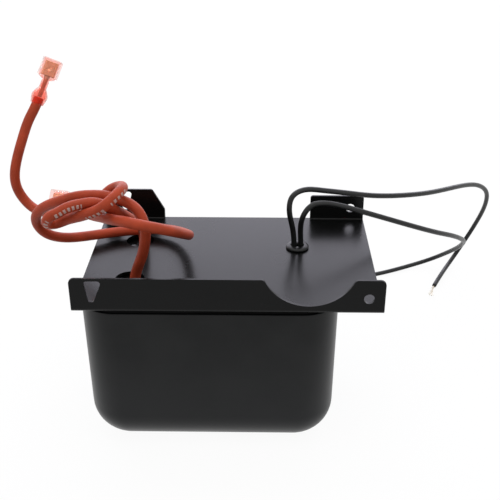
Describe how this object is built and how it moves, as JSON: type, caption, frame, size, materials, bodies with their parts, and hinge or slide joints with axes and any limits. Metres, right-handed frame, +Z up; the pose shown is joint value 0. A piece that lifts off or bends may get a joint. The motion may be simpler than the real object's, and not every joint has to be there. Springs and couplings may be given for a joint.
{
  "type": "ignition transformer",
  "caption": "Potted ignition transformer: black drawn can under a folded mounting plate with flange and tabs, silicone high-voltage leads with push-on terminals, and thin primary leads.",
  "frame": {"origin": "middle of the footprint of the can and plate together, on the surface the can stands on", "axes": "+X along the plate's long side, -Y towards the side with the full flange, +Z up out of the plate's top"},
  "size_m": [0.2732, 0.1984, 0.1706],
  "materials": {
    "black_enamel": "gloss",
    "black_resin": "gloss",
    "black_rubber": "satin",
    "red_silicone": "satin",
    "black_vinyl": "satin",
    "pink_sleeve": "translucent gloss",
    "contact_brass": "satin",
    "copper_strand": "satin",
    "enamelled_wire": "satin",
    "core_steel": "matte",
    "rivet_steel": "satin",
    "insulating_board": "matte",
    "bobbin_plastic": "matte",
    "yellow_tape": "satin",
    "tinned_crimp": "satin"
  },
  "bodies": {
    "root": {"mounting_plate": "black_enamel", "can": "black_enamel", "lead_bushing": "black_rubber", "potting_compound": "black_resin", "core_u_stack": "core_steel", "core_bar_stack": "core_steel", "shunt_bar": "core_steel", "shunt_spacer_front": "insulating_board", "shunt_spacer_rear": "insulating_board", "earth_strap": "tinned_crimp", "core_rivet_1": "rivet_steel", "core_rivet_2": "rivet_steel", "core_rivet_3": "rivet_steel", "core_rivet_4": "rivet_steel", "primary_bobbin": "bobbin_plastic", "primary_winding": "enamelled_wire", "primary_wrap": "yellow_tape", "secondary_front_bobbin": "bobbin_plastic", "secondary_front_winding": "enamelled_wire", "secondary_front_wrap": "yellow_tape", "secondary_rear_bobbin": "bobbin_plastic", "secondary_rear_winding": "enamelled_wire", "secondary_rear_wrap": "yellow_tape", "hv_splice_front": "tinned_crimp", "hv_splice_rear": "tinned_crimp", "primary_splice_left": "tinned_crimp", "primary_splice_right": "tinned_crimp", "hv_lead_front": "red_silicone", "terminal_sleeve_front": "pink_sleeve", "terminal_contact_front": "contact_brass", "hv_lead_rear": "red_silicone", "terminal_sleeve_rear": "pink_sleeve", "terminal_contact_rear": "contact_brass", "primary_lead_left": "black_vinyl", "bare_strands_left": "copper_strand", "primary_lead_right": "black_vinyl", "bare_strands_right": "copper_strand"}
  },
  "joints": []
}
